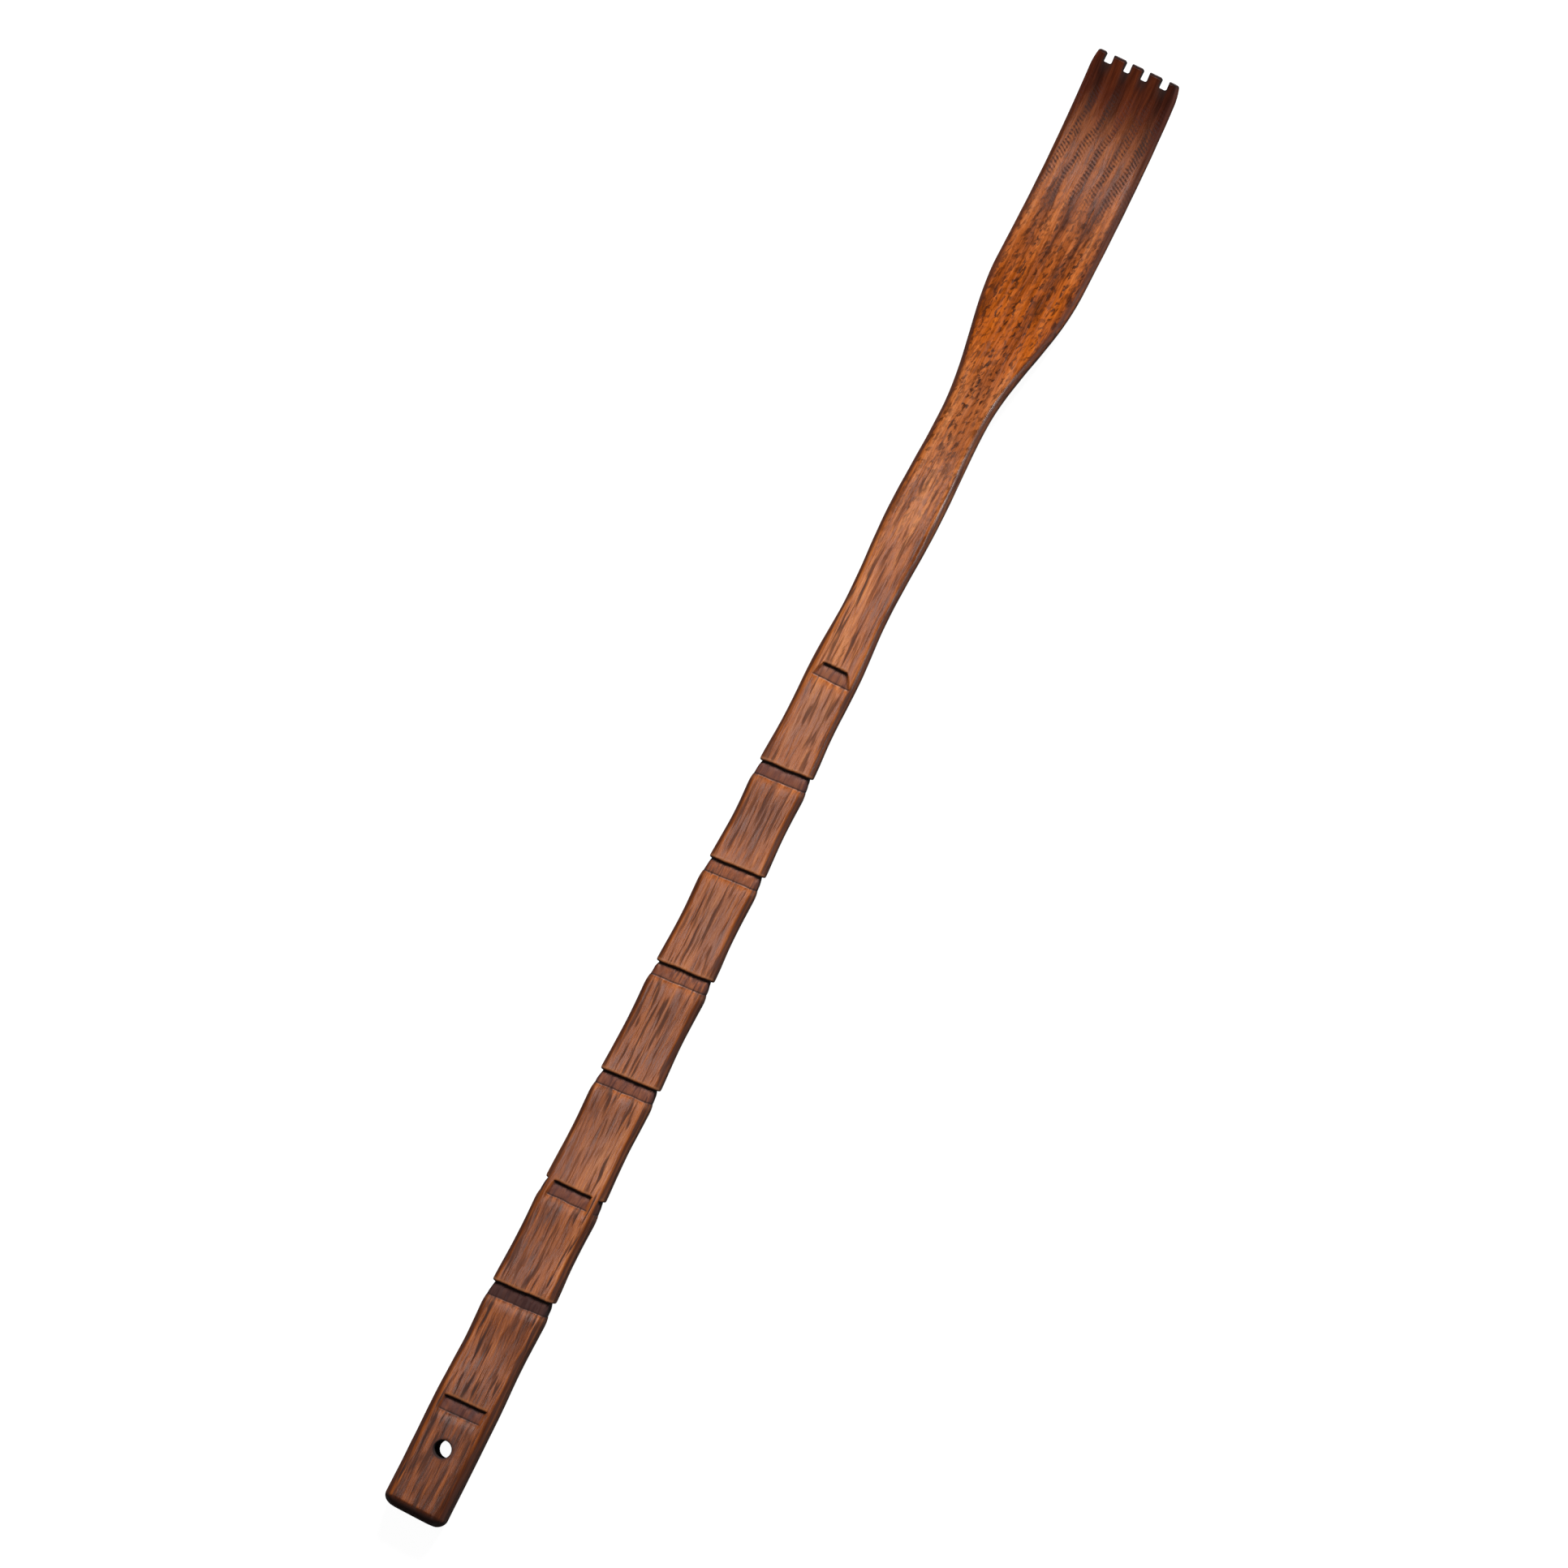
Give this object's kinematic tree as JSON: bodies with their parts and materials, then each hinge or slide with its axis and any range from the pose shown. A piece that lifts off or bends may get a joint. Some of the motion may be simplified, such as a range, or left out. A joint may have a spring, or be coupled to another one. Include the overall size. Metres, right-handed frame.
{
  "type": "back scratcher",
  "caption": "Long wooden back scratcher, carved in one piece: bamboo-like handle with notched nodes, hang hole at the butt, and a scooped head curling up into short teeth.",
  "frame": {"origin": "centre of the hang hole, in the notched front face of the butt", "axes": "+X along the stick from the butt to the teeth, +Z out of the notched front face, along the hang hole, +Y to the left of someone looking at the front face with the head up"},
  "size_m": [0.4503, 0.0266, 0.0151],
  "materials": {
    "dark_hardwood": "satin"
  },
  "bodies": {
    "root": {"carved_stick": "dark_hardwood"}
  },
  "joints": []
}
